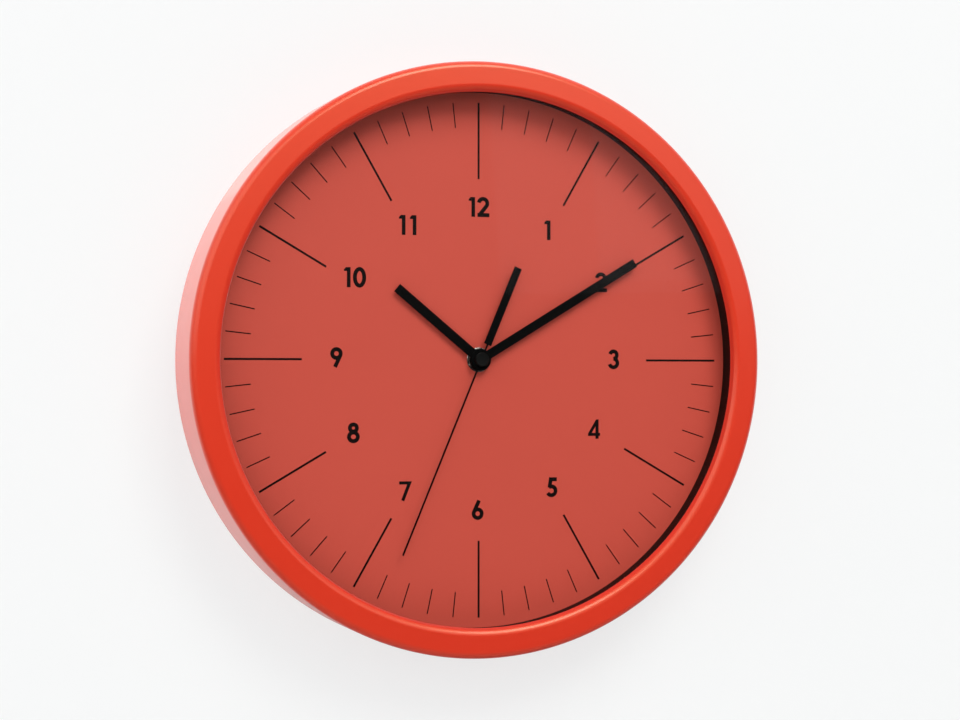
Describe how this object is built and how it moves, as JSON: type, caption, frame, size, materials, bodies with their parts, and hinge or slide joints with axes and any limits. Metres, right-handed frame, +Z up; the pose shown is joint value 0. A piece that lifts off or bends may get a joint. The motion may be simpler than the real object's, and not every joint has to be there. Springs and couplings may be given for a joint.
{
  "type": "wall clock",
  "caption": "Round wall clock with a deep moulded case, glazed printed dial, straight black hands and a battery quartz movement that hangs from a keyhole.",
  "frame": {"origin": "the point where the nail bears at the top of the keyhole, in the plane of the wall", "axes": "+Y into the wall, so the dial faces -Y; +Z up, towards 12 o'clock; +X towards 3 o'clock"},
  "size_m": [0.3, 0.043, 0.3],
  "materials": {
    "case_plastic": "satin",
    "lens": "polished",
    "spacer_plastic": "matte",
    "dial_print": "matte",
    "cover_plastic": "matte",
    "screw_steel": "satin",
    "movement_plastic": "satin",
    "rubber": "matte",
    "nickel_plate": "polished",
    "stator_steel": "satin",
    "bobbin_plastic": "satin",
    "coil_wire": "gloss",
    "board_laminate": "satin",
    "crystal_can": "polished",
    "chip_resin": "satin",
    "contact_sheet": "polished",
    "cell_sleeve": "gloss",
    "bonded_magnet": "satin",
    "gear_plastic": "satin",
    "tinted_gear_plastic": "satin",
    "hand_paint": "satin"
  },
  "bodies": {
    "case": {"case_ring": "case_plastic", "glass_lens": "lens", "spacer_ring": "spacer_plastic", "dial_plate": "dial_print", "back_cover": "cover_plastic", "back_cover_screw_1": "screw_steel", "back_cover_screw_2": "screw_steel", "back_cover_screw_3": "screw_steel", "back_cover_screw_4": "screw_steel", "back_cover_screw_5": "screw_steel", "back_cover_screw_6": "screw_steel", "movement_housing": "movement_plastic", "movement_rear_cover": "movement_plastic", "gear_bridge": "movement_plastic", "rubber_washer": "rubber", "mounting_washer": "nickel_plate", "mounting_nut": "nickel_plate", "stator_plate": "stator_steel", "coil_core": "stator_steel", "coil_bobbin": "bobbin_plastic", "coil_winding": "coil_wire", "circuit_board": "board_laminate", "quartz_crystal": "crystal_can", "chip_blob": "chip_resin", "battery_contact_positive": "contact_sheet", "battery_contact_negative": "contact_sheet"},
    "minute": {"centre_wheel": "gear_plastic", "minute_hand": "hand_paint"},
    "hour": {"hour_wheel": "gear_plastic", "hour_hand": "hand_paint"},
    "second": {"seconds_wheel": "tinted_gear_plastic", "second_hand": "hand_paint", "second_hand_cap": "hand_paint"},
    "third_wheel": {"third_wheel": "gear_plastic"},
    "intermediate_wheel": {"intermediate_wheel": "gear_plastic"},
    "rotor": {"rotor_magnet": "bonded_magnet", "rotor_pinion": "gear_plastic"},
    "motion_wheel": {"motion_wheel": "tinted_gear_plastic"},
    "setting_knob": {"setting_knob": "gear_plastic"},
    "battery": {"battery": "cell_sleeve"}
  },
  "joints": [
    {"name": "minute_hand_turn", "type": "hinge", "parent": "case", "child": "minute", "pos_m": [0, -0.0305, -0.105], "axis": [0, 1, 0], "continuous": true},
    {"name": "hour_hand_turn", "type": "hinge", "parent": "case", "child": "hour", "pos_m": [0, -0.0295, -0.105], "axis": [0, 1, 0], "continuous": true},
    {"name": "second_hand_turn", "type": "hinge", "parent": "case", "child": "second", "pos_m": [0, -0.0317, -0.105], "axis": [0, 1, 0], "continuous": true},
    {"name": "third_wheel_turn", "type": "hinge", "parent": "case", "child": "third_wheel", "pos_m": [0.00266, -0.01795, -0.09509], "axis": [0, 1, 0], "continuous": true},
    {"name": "intermediate_wheel_turn", "type": "hinge", "parent": "case", "child": "intermediate_wheel", "pos_m": [-0.00798, -0.01485, -0.10359], "axis": [0, 1, 0], "continuous": true},
    {"name": "rotor_turn", "type": "hinge", "parent": "case", "child": "rotor", "pos_m": [-0.01489, -0.0122, -0.0996], "axis": [0, 1, 0], "continuous": true},
    {"name": "motion_wheel_turn", "type": "hinge", "parent": "case", "child": "motion_wheel", "pos_m": [0.00788, -0.02105, -0.10639], "axis": [0, 1, 0], "continuous": true},
    {"name": "setting_knob_turn", "type": "hinge", "parent": "case", "child": "setting_knob", "pos_m": [0.01481, -0.0067, -0.10239], "axis": [0, 1, 0], "continuous": true},
    {"name": "battery_pull", "type": "slide", "parent": "case", "child": "battery", "axis": [0, 1, 0], "range_m": [0, 0.025]}
  ],
  "couplings": [
    {"joint": "hour_hand_turn", "follows": "minute_hand_turn", "ratio": 0.083333},
    {"joint": "second_hand_turn", "follows": "minute_hand_turn", "ratio": 60},
    {"joint": "third_wheel_turn", "follows": "minute_hand_turn", "ratio": -8},
    {"joint": "intermediate_wheel_turn", "follows": "minute_hand_turn", "ratio": -300},
    {"joint": "rotor_turn", "follows": "minute_hand_turn", "ratio": 1800},
    {"joint": "motion_wheel_turn", "follows": "minute_hand_turn", "ratio": -0.33333},
    {"joint": "setting_knob_turn", "follows": "minute_hand_turn", "ratio": 1}
  ]
}
